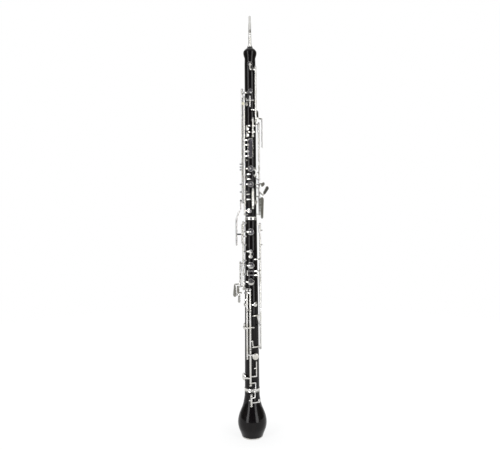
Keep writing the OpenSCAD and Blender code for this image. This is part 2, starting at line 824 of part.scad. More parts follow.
module f_resonance_key() {
  z = low(e_flat_h);
  r = lower_r(z);
  color(silver) {
    on_rod(rod_second, above(low(166)), below(low(208))) {
      arm(rod_second, crown(-62, r), z, 2.4);
      boss(z, -62, r);
      cup(z, -62, r, trill_cup_d);
      arm(rod_second, on(foot_reach + 0.4, -42), low(188), 0.4);
    }
    pad(z, -62, r, trill_cup_d);
  }
}

// The low B key closes with its pad at the left and carries a long outrigger at the right
module low_b_key() {
  z = low(low_b_h);
  r = lower_r(z);
  z0 = above(low(13.6));
  out = on(foot_reach + 0.6, 26);
  foot = on(foot_reach + 0.4, 20);
  color(silver) swung(rod_main, open_turn) on_rod(rod_main, z0, below(low(88))) {
    arm(rod_main, crown(-72, r), z, 4.4, 3);
    boss(z, -72, r);
    cup(z, -72, r, low_cup_d);
    arm(rod_main, out, low(31.7), 1.2);
    strut([out[0], out[1], low(31.7)], [out[0], out[1], low(61)], 1.1);
    ball([out[0] - 4, out[1] - 0.8, low(48)], 1.5);
    strut([out[0] - 4, out[1] - 0.8, low(48)], [out[0], out[1], low(48)], 0.9);
    arm(rod_main, foot, z0 + 2, 0.8);
    strut([foot[0], foot[1], z0 + 2], [foot[0], foot[1], lower_z + 1.6], 1.1);
  }
}

module low_b_pad() {
  z = low(low_b_h);
  color(skin) swung(rod_main, open_turn) pad(z, -72, lower_r(z), low_cup_d);
}

module low_b_link() {
  z0 = above(low(86));
  z1 = below(low(232));
  fork = on(lower_reach + 3.2, 9);
  knee = on(lower_reach + 3, 31);
  foot = on(lower_reach + 3.4, 48);
  color(silver) on_rod(rod_low_right, z0, z1) {
    arm(rod_low_right, on(foot_reach + 1, 5), z0 + 3, 2.8);
    arm(rod_low_right, fork, low(156), 3.2);
    ball([fork[0], fork[1], low(156)], 1.6);
    arm(rod_low_right, foot, low(134), 0.5);
    strut([knee[0], knee[1], low(156)], [foot[0], foot[1], low(134)], 1);
  }
}

// Upper joint

cork_play = 1;
liner_r = crook_d / 2 + 1;
socket_depth = crook_socket;

module upper_outline() {
  b = bulb_d / 2;
  polygon([
    [0, upper_z], [upper_r, upper_z], [upper_r, upp(318)], [upper_r - 0.3, upp(329)],
    [upper_r + 0.4, upp(331.5)], [b - 0.9, upp(335)], [b, upp(339.5)], [b - 0.4, upp(343)],
    [b - 2.6, upp(346.5)], [b - 6.6, upp(349.6)], [liner_r + 1.2, top_z], [0, top_z]
  ]);
}

side_vent_th = 47;
front_vent_th = -30.5;
thumb_pad_th = -158;
thumb_touch_th = 130;
upp_holes = [
  // height, angle, cup diameter, hole diameter
  [second_octave_h, 0, trill_cup_d, 3], [upper_trill_h, 0, trill_cup_d, 3.4],
  [lower_trill_h, -38, vent_cup_d, 3.2], [lower_trill_h + 8, thumb_pad_th, vent_cup_d, 2.4],
  [front_vent_h, front_vent_th, vent_cup_d, 3.2], [front_vent_h - 12.9, front_vent_th, vent_cup_d, 3.2],
  [half_hole_h + 9, 0, vent_cup_d, 3.4], [second_finger_h, 0, left_cup_d, 4.6],
  [second_finger_h - 1, side_vent_th, vent_cup_d, 2.8], [second_finger_h - 14, side_vent_th, vent_cup_d, 3],
  [third_finger_h, 0, left_cup_d, 5], [g_sharp_h - 4, 50, trill_cup_d, 4.4],
  [bridge_vent_h, -14, trill_cup_d, 4]
];

module upper_joint_body() {
  color(wood) difference() {
    union() {
      rotate_extrude($fn = fine) upper_outline();
      translate([0, 0, upper_z - middle_tenon_len + 0.5])
        cylinder(r = middle_tenon_r, h = middle_tenon_len, $fn = fine);
    }
    translate([0, 0, upper_z - middle_tenon_len])
      cylinder(r1 = upper_bore_d / 2, r2 = reed_end_d / 2, h = upper_len + middle_tenon_len - socket_depth, $fn = fine);
    translate([0, 0, top_z - socket_depth - 0.5]) cylinder(r = liner_r, h = socket_depth + 1, $fn = fine);
    for (h = upp_holes) tone_hole(upp(h[0]), h[1], upper_r, h[2], h[3]);
  }
}

module upper_tenon_cork() {
  color(cork) difference() {
    translate([0, 0, upper_z - middle_tenon_len + 3]) cylinder(r = middle_cork_r, h = middle_tenon_len - 7, $fn = fine);
    translate([0, 0, upper_z - middle_tenon_len]) cylinder(r = middle_tenon_r, h = middle_tenon_len, $fn = fine);
  }
}

// The silver liner of the crook's socket, with a collar above the wood
collar_h = 3;
module crook_ferrule() {
  bore = crook_d / 2 + tenon_gap;
  color(silver) rotate_extrude($fn = fine) polygon([
    [bore, top_z - socket_depth + 0.5], [liner_r - fit_gap, top_z - socket_depth + 0.5],
    [liner_r - fit_gap, top_z], [liner_r + 0.9, top_z], [liner_r + 1.2, top_z + 0.7],
    [liner_r + 0.9, top_z + 1.4], [liner_r + 0.2, top_z + 1.8], [liner_r + 0.2, top_z + collar_h],
    [bore, top_z + collar_h]
  ]);
}

upper_left_posts = [244, 186, 117, 82, 52, 5];
outer_posts = [262, 30];
octave_posts = [306, 197];
front_posts = [199.5, 165.5];
right_posts = [192, 78, 60, 42, 5];
g_sharp_posts = [55, 18];
thumb_posts = [252, 202];
sleeve_r = 3.1;
saddle_x = [-6.6, 5.4];
saddle_pivot_r = 0.8;
saddle_out = upper_r + 3.4;

module upper_posts() {
  color(silver) difference() {
    union() {
      for (h = upper_left_posts) post(rod_left_inner, upp(h), upper_r);
      for (h = outer_posts) post(rod_left_outer, upp(h), upper_r);
      for (h = octave_posts) post(rod_octave, upp(h), upper_r);
      for (h = front_posts) post(rod_front, upp(h), upper_r);
      for (h = right_posts) post(rod_right, upp(h), upper_r);
      for (h = g_sharp_posts) post(rod_g_sharp, upp(h), upper_r);
      for (h = thumb_posts) post(rod_thumb, upp(h), upper_r);
      for (x = saddle_x) saddle_post(x);
    }
    rotate_extrude($fn = fine) offset_outline(fit_gap) upper_outline();
  }
}

module saddle_post(x) {
  r = 2;
  w = 2.6;
  difference() {
    union() {
      translate([x - w / 2, -saddle_out, upp(see_saw_h)]) rotate([0, 90, 0]) cylinder(r = r, h = w, $fn = mid);
      translate([x, -saddle_out + 0.4, upp(see_saw_h)]) rotate([-90, 0, 0]) cylinder(r = 1.1, h = 8, $fn = mid);
    }
    translate([x - r, -saddle_out, upp(see_saw_h)]) rotate([0, 90, 0])
      cylinder(r = saddle_pivot_r + fit_gap, h = 2 * r, $fn = mid);
  }
}

module upper_rods() {
  color(steel) {
    rod(rod_left_inner, upp(5), upp(244));
    rod(rod_left_outer, upp(30), upp(262));
    rod(rod_octave, upp(197), upp(306));
    rod(rod_front, upp(165.5), upp(199.5));
    rod(rod_right, upp(5), upp(192));
    rod(rod_g_sharp, upp(18), upp(55));
    rod(rod_thumb, upp(202), upp(252));
    translate([saddle_x[0] - 2.2, -saddle_out, upp(see_saw_h)]) rotate([0, 90, 0])
      cylinder(r = saddle_pivot_r, h = saddle_x[1] - saddle_x[0] + 4.4, $fn = mid);
  }
}

module upper_springs() {
  color(blued) {
    for (h = [244, 186, 117, 82]) needle(rod_left_inner, upp(h), upp(h) - needle_len);
    needle(rod_left_inner, upp(5), upp(5) + needle_len);
    needle(rod_left_outer, upp(262), upp(262) - needle_len);
    needle(rod_octave, upp(306), upp(306) - needle_len);
    needle(rod_front, upp(199.5), upp(199.5) - needle_len * 0.6);
    needle(rod_front, upp(165.5), upp(165.5) + needle_len * 0.6);
    for (h = [192, 78, 60, 42]) needle(rod_right, upp(h), upp(h) - needle_len * (h > 78 ? 1 : 0.7));
    needle(rod_g_sharp, upp(55), upp(55) - needle_len, sleeve_r - 0.35);
    needle(rod_thumb, upp(252), upp(252) - needle_len);
  }
}

// Keys of the upper joint

module second_octave_key() {
  z = upp(second_octave_h);
  bar_z = upp(second_octave_h - 13);
  lever_th = 76;
  lever = on(upper_r + 12.4, lever_th);
  c = crown(0, upper_r);
  color(silver) {
    on_rod(rod_octave, above(upp(197)), below(upp(306))) {
      arm(rod_octave, c, bar_z);
      strut([c[0], c[1], bar_z], [c[0], c[1], z], 0.9);
      cup(z, 0, upper_r, trill_cup_d);
      arm(rod_octave, lever, upp(202), 1.2, 3);
      touch(lever, upp(173), lever_th, 62, 2.4, 3.6);
      arm(rod_octave, on(upper_r + 5.4, 8), upp(219), 0.8, 2);
    }
    pad(z, 0, upper_r, trill_cup_d);
  }
}

module thumb_octave_key() {
  z = upp(lower_trill_h + 8);
  plate = on(upper_r + 5, thumb_touch_th);
  color(silver) {
    on_rod(rod_thumb, above(upp(202)), below(upp(252))) {
      arm(rod_thumb, crown(thumb_pad_th, upper_r), z, 1);
      boss(z, thumb_pad_th, upper_r);
      cup(z, thumb_pad_th, upper_r, vent_cup_d);
      arm(rod_thumb, plate, upp(214), 1.2, 3);
      touch(plate, upp(214), thumb_touch_th, 20, 5.4, 5);
    }
    pad(z, thumb_pad_th, upper_r, vent_cup_d);
  }
}

module upper_trill_key() {
  z = upp(upper_trill_h);
  bar_z = upp(upper_trill_h - 4);
  z0 = above(upp(30));
  tail = on(upper_r + rod_stand + 4.4, -82);
  color(silver) {
    on_rod(rod_left_outer, z0, below(upp(262))) {
      arm(rod_left_outer, crown(0, upper_r), bar_z, 4.2);
      boss(bar_z + 1, 0, upper_r);
      cup(z, 0, upper_r, trill_cup_d);
      arm(rod_left_outer, tail, z0 + 3, 0.4);
      strut([tail[0], tail[1], z0 + 3], [tail[0], tail[1], upp(16.5)], 1.1);
    }
    pad(z, 0, upper_r, trill_cup_d);
  }
}

// The see-saw rocks on a level pivot between its two posts
module octave_see_saw() {
  z = upp(see_saw_h);
  bar_y = saddle_out + 1.2;
  half = 3.6;
  color(silver) difference() {
    union() {
      translate([saddle_x[0] + 2 + end_gap, -saddle_out, z]) rotate([0, 90, 0])
        cylinder(r = 1.6, h = saddle_x[1] - saddle_x[0] - 4 - 2 * end_gap, $fn = mid);
      translate([-0.6, -bar_y + 1.1, z - 2.7]) rotate([90, 0, 0]) linear_extrude(2) pill(25.4, 1.2, 1.2);
    }
    translate([saddle_x[0], -saddle_out, z]) rotate([0, 90, 0])
      cylinder(r = saddle_pivot_r + rod_gap, h = saddle_x[1] - saddle_x[0], $fn = mid);
  }
}

module lower_trill_key() {
  z = upp(lower_trill_h);
  color(silver) on_rod(rod_left_inner, above(upp(186)), below(upp(244))) {
    cup(z, -38, upper_r, vent_cup_d);
    arm(rod_left_inner, crown(-38, upper_r), z, 0.3);
  }
}

module lower_trill_pad() {
  color(skin) pad(upp(lower_trill_h), -38, upper_r, vent_cup_d);
}

vent_tube_split = 182;

module vent_key(h, z0, z1, tail_th, tail_out) {
  z = upp(h);
  bar_z = upp(h + 6.2);
  c = crown(front_vent_th, upper_r);
  on_rod(rod_front, z0, z1) {
    arm(rod_front, c, bar_z);
    strut([c[0], c[1], bar_z], [c[0], c[1], z], 0.9);
    cup(z, front_vent_th, upper_r, vent_cup_d);
    arm(rod_front, on(upper_r + tail_out, tail_th), bar_z, 0.4);
  }
  pad(z, front_vent_th, upper_r, vent_cup_d);
}

module front_vent_key() {
  color(silver) vent_key(front_vent_h, upp(vent_tube_split) + end_gap, below(upp(199.5)), 42, 5);
}

module back_vent_key() {
  color(silver) vent_key(front_vent_h - 12.9, above(upp(165.5)), upp(vent_tube_split), 42, 5);
}

// The long plate of the first finger, dished, over the half hole
module half_hole_key() {
  z = upp(half_hole_h);
  face = seat(upper_r) + pad_t;
  hole_z = upp(half_hole_h + 9);
  lip = 0.8;
  k = upper_len / upper_drawn_len;
  color(silver) swung(rod_left_inner, -open_turn) {
    on_rod(rod_left_inner, above(upp(117)), below(upp(186))) {
      along(0, face, z) linear_extrude(1.2) pill(half_plate_l * k, half_plate_w / 2, half_plate_w / 2);
      along(0, face, z) linear_extrude(1.9) difference() {
        pill(half_plate_l * k, half_plate_w / 2, half_plate_w / 2);
        pill(half_plate_l * k - 2 * lip, half_plate_w / 2 - lip, half_plate_w / 2 - lip);
      }
      for (h = [17, 7, -6.5, -16]) arm(rod_left_inner, [-half_plate_w / 2 + 1.6, -face - 0.8], upp(half_hole_h + h), 0.5);
    }
    pad(hole_z, 0, upper_r, vent_cup_d);
  }
}

module second_finger_key() {
  z = upp(second_finger_h);
  color(silver) finger_key(rod_left_inner, z, above(upp(82)), below(upp(117)), left_cup_d, upper_r) {
    arm(rod_left_inner, on(upper_r + 4.6, 0), upp(87), 1);
  }
}

module third_finger_key() {
  z = upp(third_finger_h);
  color(silver) finger_key(rod_left_inner, z, above(upp(52)), below(upp(82)), left_cup_d, upper_r) {
    arm(rod_left_inner, on(upper_r + 4.6, 0), upp(77), 1);
  }
}

module side_vent_key() {
  a = upp(second_finger_h - 1);
  b = upp(second_finger_h - 14);
  bar_z = upp(second_finger_h - 7.5);
  c = crown(side_vent_th, upper_r);
  color(silver) {
    on_rod(rod_right, above(upp(78)), below(upp(192))) {
      arm(rod_right, c, bar_z, 0.8);
      strut([c[0], c[1], bar_z], [c[0], c[1], a], 0.9);
      strut([c[0], c[1], bar_z], [c[0], c[1], b], 0.9);
      cup(a, side_vent_th, upper_r, vent_cup_d);
      cup(b, side_vent_th, upper_r, vent_cup_d);
    }
    pad(a, side_vent_th, upper_r, vent_cup_d);
    pad(b, side_vent_th, upper_r, vent_cup_d);
  }
}

module g_sharp_key() {
  z = upp(g_sharp_h - 4);
  z0 = above(upp(18));
  z1 = below(upp(55));
  color(silver) on_rod(rod_g_sharp, z0, z1) {
    translate([rod_g_sharp[0], rod_g_sharp[1], z0 + 0.6]) cylinder(r = sleeve_r, h = z1 - z0 - 1.2, $fn = fine);
    arm(rod_g_sharp, crown(50, upper_r), z, 1.4);
    boss(z, 50, upper_r);
    cup(z, 50, upper_r, trill_cup_d);
  }
}

module g_sharp_pad() {
  color(skin) pad(upp(g_sharp_h - 4), 50, upper_r, trill_cup_d);
}

module g_sharp_lever() {
  tip = on(upper_r + 14.5, 68);
  z0 = above(upp(60));
  color(silver) on_rod(rod_right, z0, below(upp(78))) {
    arm(rod_right, tip, upp(68), 0.6, 2.8);
    touch(tip, upp(66.5), 50, 12, 4, 3.2, -60);
    arm(rod_right, on(upper_r + 5.2, 40), upp(66), 0.6);
  }
}

module low_b_lever() {
  z0 = above(upp(42));
  tip = on(upper_r + 19, 66);
  color(silver) on_rod(rod_right, z0, below(upp(60))) {
    strut([rod_right[0], rod_right[1], upp(52)], [tip[0] - 3, tip[1], upp(44)], 1.4);
    strut([tip[0] - 3, tip[1], upp(44)], [tip[0], tip[1], upp(48)], 1.4);
    touch([tip[0] + 2.5, tip[1]], upp(54), 42, 20, 3, 4, -38);
  }
}

module e_flat_lever() {
  z0 = above(upp(5));
  place = on(upper_r + 15, 56);
  color(silver) on_rod(rod_right, z0, below(upp(42))) {
    arm(rod_right, place, upp(29), 0.6, 3);
    touch(place, upp(18), 50, 44, 3.4, 5.4);
    arm(rod_right, on(upper_r + rod_stand + 4, 92), upp(12), 0.4, 2);
  }
}

module bridge_vent_key() {
  z = upp(bridge_vent_h);
  color(silver) on_rod(rod_left_inner, above(upp(5)), below(upp(52))) {
    arm(rod_left_inner, crown(-14, upper_r), z);
    boss(z, -14, upper_r);
    cup(z, -14, upper_r, trill_cup_d);
    arm(rod_left_inner, on(upper_r + 5.4, -8), upp(46), 1);
    ball([on(upper_r + 5.4, -20)[0], on(upper_r + 5.4, -20)[1], upp(46)], 2);
    arm(rod_left_inner, on(upper_r + 5.4, -8), upp(35.4), 1);
  }
}

module bridge_vent_pad() {
  color(skin) pad(upp(bridge_vent_h), -14, upper_r, trill_cup_d);
}

// Crook: a straight foot in its socket, a bend towards the player, and the end for the reed

crook_wall = 0.7;
crook_foot = top_z - crook_socket + 1;
bend_r = (crook_d + reed_end_d) / 4;
tip_taper = 8;

// A hollow straight run of one or two tapers, from pairs of height and outside radius
module crook_straight(runs) {
  rotate_extrude($fn = fine) polygon(concat(
    [for (p = runs) [p[1], p[0]]],
    [for (i = [len(runs) - 1 : -1 : 0]) [runs[i][1] - crook_wall, runs[i][0]]]
  ));
}

module crook_tube() {
  stem_top = top_z + collar_h + crook_stem;
  color(silver) {
    crook_straight([[crook_foot, crook_d / 2], [top_z + collar_h, crook_d / 2], [stem_top, bend_r]]);
    translate([0, crook_bend_r, stem_top]) rotate([0, -90, 0]) rotate([0, 0, -90])
      rotate_extrude(angle = crook_bend, $fn = fine) translate([crook_bend_r, 0]) difference() {
        circle(bend_r, $fn = mid);
        circle(bend_r - crook_wall, $fn = mid);
      }
    translate([0, crook_bend_r, stem_top]) rotate([-crook_bend, 0, 0]) translate([0, -crook_bend_r, 0])
      crook_straight([[0, bend_r], [tip_taper, reed_end_d / 2], [tip_taper + reed_end_len, reed_end_d / 2]]);
  }
}

bell_body();
bell_rim_ring();
bell_socket_ring();
bell_posts();
bell_rod();
bell_key();
bell_pad();
lower_joint_body();
lower_socket_ring();
lower_tenon_cork();
lower_posts();
lower_rods();
lower_springs();
thumb_rest();
thumb_rest_screws();
strap_ring();
side_trill_lever();
fourth_finger_key();
resonance_key();
fifth_finger_key();
yoke_lever();
sixth_finger_key();
low_c_touch();
e_flat_key();
e_flat_pad();
low_c_sharp_key();
low_c_sharp_pad();
low_c_key();
low_c_pad();
low_b_key();
low_b_pad();
low_b_link();
f_resonance_key();
upper_joint_body();
upper_tenon_cork();
upper_posts();
upper_rods();
upper_springs();
crook_ferrule();
second_octave_key();
thumb_octave_key();
upper_trill_key();
octave_see_saw();
lower_trill_key();
lower_trill_pad();
front_vent_key();
back_vent_key();
half_hole_key();
second_finger_key();
side_vent_key();
third_finger_key();
g_sharp_key();
g_sharp_pad();
g_sharp_lever();
bridge_vent_key();
bridge_vent_pad();
low_b_lever();
e_flat_lever();
crook_tube();
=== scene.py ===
import math

import bmesh
import bpy
from mathutils import Matrix, Vector


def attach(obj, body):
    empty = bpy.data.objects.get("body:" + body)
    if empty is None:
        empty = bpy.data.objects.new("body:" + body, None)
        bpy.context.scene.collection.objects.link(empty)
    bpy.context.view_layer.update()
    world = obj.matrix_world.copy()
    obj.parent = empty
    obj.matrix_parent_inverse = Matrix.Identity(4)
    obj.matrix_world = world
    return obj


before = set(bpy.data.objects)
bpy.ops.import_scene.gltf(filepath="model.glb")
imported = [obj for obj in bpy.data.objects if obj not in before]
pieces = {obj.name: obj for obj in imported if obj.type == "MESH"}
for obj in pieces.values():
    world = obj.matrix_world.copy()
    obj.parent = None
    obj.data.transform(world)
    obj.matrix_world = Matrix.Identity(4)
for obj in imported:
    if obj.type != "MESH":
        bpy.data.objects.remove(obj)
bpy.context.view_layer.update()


# The pear-shaped bell is turned from one billet of grenadilla, a wood so dense that it sinks.
# It is bored through, oiled and buffed, so it is nearly black with a fine upright grain.
def finish(name, roughness, metallic=0.0):
    """A new finish with its shader, and two short calls that add and join its nodes."""
    material = bpy.data.materials.new(name)
    material.use_nodes = True
    tree = material.node_tree
    shader = tree.nodes["Principled BSDF"]
    shader.inputs["Roughness"].default_value = roughness
    shader.inputs["Metallic"].default_value = metallic

    def add(kind, **settings):
        node = tree.nodes.new("ShaderNode" + kind)
        for key, value in settings.items():
            node.inputs[key.replace("_", " ")].default_value = value
        return node

    def join(source, target, socket, output=0):
        tree.links.new(source.outputs[output], target.inputs[socket])

    return material, shader, add, join


OBJECT_PLACE = 3  # the output of Texture Coordinate that stays with the piece


def shades(add, *stops):
    """A ramp from (place, colour) pairs."""
    ramp = add("ValToRGB")
    dots = ramp.color_ramp.elements
    while len(dots) < len(stops):
        dots.new(0.5)
    for dot, (place, colour) in zip(dots, stops):
        dot.position = place
        dot.color = (*colour, 1)
    return ramp


def grenadilla():
    """Black wood: stretched noise for the grain, small pits for the pores, wiped with oil."""
    heartwood, dark_grain, brown_grain = (
        (0.0018, 0.0015, 0.0016), (0.0036, 0.0028, 0.003), (0.013, 0.0085, 0.0075)
    )
    grain_stretch = (1, 1, 0.045)
    material, shader, add, join = finish("grenadilla", 0.12)
    shader.inputs["Specular IOR Level"].default_value = 0.2
    place = add("TexCoord")
    along_grain = add("Mapping")
    along_grain.inputs["Scale"].default_value = grain_stretch
    join(place, along_grain, "Vector", OBJECT_PLACE)
    rings = add("TexNoise", Scale=520, Detail=6, Roughness=0.62, Distortion=0.4)
    join(along_grain, rings, "Vector")
    tint = shades(add, (0.3, heartwood), (0.55, dark_grain), (0.8, brown_grain))
    join(rings, tint, 0)
    join(tint, shader, "Base Color")
    pores = add("TexVoronoi", Scale=2600)
    join(along_grain, pores, "Vector")
    depth = add("MapRange", From_Min=0.0, From_Max=0.35, To_Min=0.0, To_Max=1.0)
    join(pores, depth, "Value")
    smear = add("TexNoise", Scale=45, Detail=3)
    join(place, smear, "Vector", OBJECT_PLACE)
    dullness = add("MapRange", From_Min=0.3, From_Max=0.75, To_Min=0.1, To_Max=0.17)
    join(smear, dullness, "Value")
    join(dullness, shader, "Roughness")
    relief = add("Bump", Strength=0.14, Distance=0.00004)
    join(depth, relief, "Height")
    join(relief, shader, "Normal")
    return material


def faired(sharpest, seam=0.000002):
    """A modifier that shades turned and drawn surfaces smooth, and keeps edges over an angle."""
    group = bpy.data.node_groups.new("faired", "GeometryNodeTree")
    group.is_modifier = True
    for way in ("INPUT", "OUTPUT"):
        group.interface.new_socket("Geometry", in_out=way, socket_type="NodeSocketGeometry")
    kinds = ("NodeGroupInput", "GeometryNodeMergeByDistance", "GeometryNodeRemoveAttribute",
             "GeometryNodeSetShadeSmooth", "GeometryNodeSetShadeSmooth", "NodeGroupOutput")
    chain = [group.nodes.new(kind) for kind in kinds]
    start, weld, bare, faces, edges, end = chain
    weld.inputs["Distance"].default_value = seam
    bare.inputs["Name"].default_value = "custom_normal"
    angle = group.nodes.new("GeometryNodeInputMeshEdgeAngle")
    blunt = group.nodes.new("FunctionNodeCompare")
    blunt.operation = "LESS_EQUAL"
    blunt.inputs["B"].default_value = math.radians(sharpest)
    edges.domain = "EDGE"
    group.links.new(angle.outputs[0], blunt.inputs["A"])
    group.links.new(blunt.outputs[0], edges.inputs["Shade Smooth"])
    for source, target in zip(chain, chain[1:]):
        group.links.new(source.outputs[0], target.inputs[0])
    return group


fairing = faired(sharpest=32)


def dress(name, finish_of_piece):
    """Gives a piece of the frame its finish, and fair curves."""
    for slot in pieces[name].material_slots:
        slot.material = finish_of_piece
    pieces[name].modifiers.new("fair_curves", "NODES").node_group = fairing


wood = grenadilla()
dress("bell_body", wood)


# The rings at the bell's mouth and the sockets are turned from nickel silver, plated with silver
# and pressed on. They keep the wood from splitting and take the knocks.
def silver_plate(name="silver_plate", turned=False):
    """Plate with a faint tarnish and the marks of wiping, or of the lathe where it was turned."""
    tarnished, worn, bright = (0.54, 0.525, 0.47), (0.64, 0.63, 0.60), (0.72, 0.715, 0.71)
    lathe_stretch = (0.02, 0.02, 1)
    material, shader, add, join = finish(name, 0.14, 1.0)
    place = add("TexCoord")
    clouds = add("TexNoise", Scale=90, Detail=4, Roughness=0.5)
    join(place, clouds, "Vector", OBJECT_PLACE)
    tint = shades(add, (0.28, tarnished), (0.47, worn), (0.7, bright))
    join(clouds, tint, 0)
    join(tint, shader, "Base Color")
    wiped = add("TexNoise", Scale=420, Detail=4, Roughness=0.7)
    join(place, wiped, "Vector", OBJECT_PLACE)
    dullness = add("MapRange", From_Min=0.3, From_Max=0.72, To_Min=0.12, To_Max=0.2)
    join(wiped, dullness, "Value")
    join(dullness, shader, "Roughness")
    relief = add("Bump", Strength=0.05, Distance=0.00002)
    soft_edge = add("Bevel", Radius=0.00035)
    join(soft_edge, relief, "Normal")
    if turned:
        lathe = add("Mapping")
        lathe.inputs["Scale"].default_value = lathe_stretch
        join(place, lathe, "Vector", OBJECT_PLACE)
        lines = add("TexNoise", Scale=9000, Detail=2)
        join(lathe, lines, "Vector")
        join(lines, relief, "Height")
    else:
        join(wiped, relief, "Height")
    join(relief, shader, "Normal")
    return material


silver = silver_plate()
turned_silver = silver_plate("turned_silver", turned=True)
turned_rings = ("bell_rim_ring", "bell_socket_ring", "lower_socket_ring", "crook_ferrule")
for ring in turned_rings:
    dress(ring, turned_silver)


# The two long joints are turned from the same wood as the bell. They are bored, drilled for
# their tone holes, and tapped for the feet of the posts.
for joint in ("lower_joint_body", "upper_joint_body"):
    dress(joint, wood)


# The cork on the tenons is a strip of natural bark, glued round and sanded until the joints
# slide together with a firm push. Grease keeps it supple.
def cork_bark(name, roughness, grain_size, pits, body, crust, rise):
    """Cork in a dark, a middle and a light tone, with the grains raised."""
    material, shader, add, join = finish(name, roughness)
    place = add("TexCoord")
    grains = add("TexVoronoi", Scale=grain_size)
    join(place, grains, "Vector", OBJECT_PLACE)
    tint = shades(add, (0.1, pits), (0.4, body), (0.9, crust))
    join(grains, tint, 0)
    join(tint, shader, "Base Color")
    relief = add("Bump", Strength=rise, Distance=0.0001)
    join(grains, relief, "Height")
    join(relief, shader, "Normal")
    return material


cork = cork_bark("tenon_cork", 0.75, 900, pits=(0.20, 0.11, 0.055), body=(0.50, 0.33, 0.18),
                 crust=(0.62, 0.44, 0.26), rise=0.4)
for band in ("lower_tenon_cork", "upper_tenon_cork"):
    dress(band, cork)


# Posts, hinge tubes, arms, cups and touches are forged or turned from nickel silver. The keys
# are hard soldered together, and all of it is plated and polished.
key_work = ("_posts", "_key", "_lever", "_touch", "_link", "_ring", "_see_saw", "_rest")
for name in pieces:
    if name.endswith(key_work) and name not in turned_rings:
        dress(name, silver)


# The touches and flat levers are filed to a soft round edge, so that they feel smooth to the
# fingers, and so are the see-saw bar and the half-hole plate. The widths are in millimetres.
filed_widths = {
    "e_flat_lever": 0.5, "low_b_lever": 0.5, "low_c_touch": 0.5, "octave_see_saw": 0.6,
    "e_flat_key": 0.4, "side_trill_lever": 0.5, "half_hole_key": 0.35, "second_octave_key": 0.4,
    "side_vent_key": 0.4, "thumb_octave_key": 0.4, "thumb_rest": 0.6, "g_sharp_lever": 0.4,
}
for name, width in filed_widths.items():
    filed = pieces[name].modifiers.new("filed_edge", "BEVEL")
    filed.width = width / 1000
    filed.segments = 3
    filed.limit_method = "ANGLE"
    filed.angle_limit = math.radians(40)


# A round bead stands on the rim of the half-hole plate. It is drawn wire, bent to the outline
# and soldered on, and it catches the light all round the dished face.
def drawn_out(name, path, material, body, closed=False, sides=12, flat=1.0, out=(0, -1, 0)):
    """A bar along a path of (point, radius) pairs, with a section that is round or flat."""
    form = bmesh.new()
    points = [Vector(point) for point, radius in path]
    out = Vector(out).normalized()
    loops = []
    count = len(points)
    for i, (point, (_, radius)) in enumerate(zip(points, path)):
        before = points[i - 1] if i or closed else points[0]
        after = points[(i + 1) % count] if i + 1 < count or closed else points[-1]
        along = (after - before).normalized()
        across = along.cross(out).normalized()
        proud = across.cross(along)
        loop = []
        for j in range(sides):
            a = 2 * math.pi * j / sides
            corner = point + radius * (math.cos(a) * across + flat * math.sin(a) * proud)
            loop.append(form.verts.new(corner))
        loops.append(loop)
    pairs = list(zip(loops, loops[1:]))
    if closed:
        pairs.append((loops[-1], loops[0]))
    for first, second in pairs:
        for j in range(sides):
            k = (j + 1) % sides
            form.faces.new((first[j], first[k], second[k], second[j]))
    if not closed:
        form.faces.new(loops[0][::-1])
        form.faces.new(loops[-1])
    bmesh.ops.recalc_face_normals(form, faces=form.faces)
    mesh = bpy.data.meshes.new(name)
    form.to_mesh(mesh)
    form.free()
    piece = bpy.data.objects.new(name, mesh)
    bpy.context.scene.collection.objects.link(piece)
    mesh.materials.append(material)
    piece.modifiers.new("fair_curves", "NODES").node_group = fairing
    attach(piece, body)
    return piece


plate_middle = 0.5966
plate_face = -0.0148
bead_reach = 0.01475
bead_out = 0.00535
bead_r = 0.00042
bend_steps = 12
plate_hinge = Vector((-0.012856, -0.011576, 0))
plate_swing = -7
plate_tilt = Matrix.Rotation(math.radians(plate_swing), 4, "Z")
bead_path = []
for end in (1, -1):
    for step in range(bend_steps + 1):
        a = math.pi * step / bend_steps
        height = plate_middle + end * (bead_reach + bead_out * math.sin(a))
        flat_point = Vector((end * bead_out * math.cos(a), plate_face, height))
        bead_path.append((plate_hinge + plate_tilt @ (flat_point - plate_hinge), bead_r))
drawn_out("half_hole_bead", bead_path, silver, "half_hole_key",
          closed=True, sides=10, out=(0.12, -1, 0))


# The see-saw bar between the octave keys is half round, so that it is stiff and yet light. Its
# rounded rib faces the player and tapers towards both ends.
rib_x, rib_y = -0.0006, -0.0163
rib_shape = (
    (0.6802, 0.0006), (0.6806, 0.0011), (0.6830, 0.0013), (0.6880, 0.0012), (0.6925, 0.0015),
    (0.6970, 0.0012), (0.7015, 0.0013), (0.7040, 0.0011), (0.7044, 0.0006),
)
drawn_out("see_saw_rib", [((rib_x, rib_y, z), r) for z, r in rib_shape], silver,
          "octave_see_saw", sides=16, flat=0.7)


# The long trill lever ends in a slim blade that lies under the hand. It is forged flat, with
# rounded edges, and bends out from the body to clear the joint's socket.
blade_shape = (
    ((-0.0257, -0.0046, 0.4645), 0.0007), ((-0.0268, -0.0042, 0.4612), 0.0013),
    ((-0.0285, -0.0038, 0.4560), 0.0017), ((-0.0300, -0.0034, 0.4500), 0.0019),
    ((-0.0303, -0.0033, 0.4420), 0.0018), ((-0.0303, -0.0033, 0.4300), 0.0018),
    ((-0.0303, -0.0032, 0.4180), 0.0018), ((-0.0303, -0.0033, 0.4080), 0.0018),
    ((-0.0302, -0.0034, 0.4000), 0.0017), ((-0.0302, -0.0034, 0.3972), 0.0013),
    ((-0.0302, -0.0034, 0.3963), 0.0006),
)
drawn_out("trill_lever_blade", blade_shape, silver, "side_trill_lever",
          sides=16, flat=1.1)


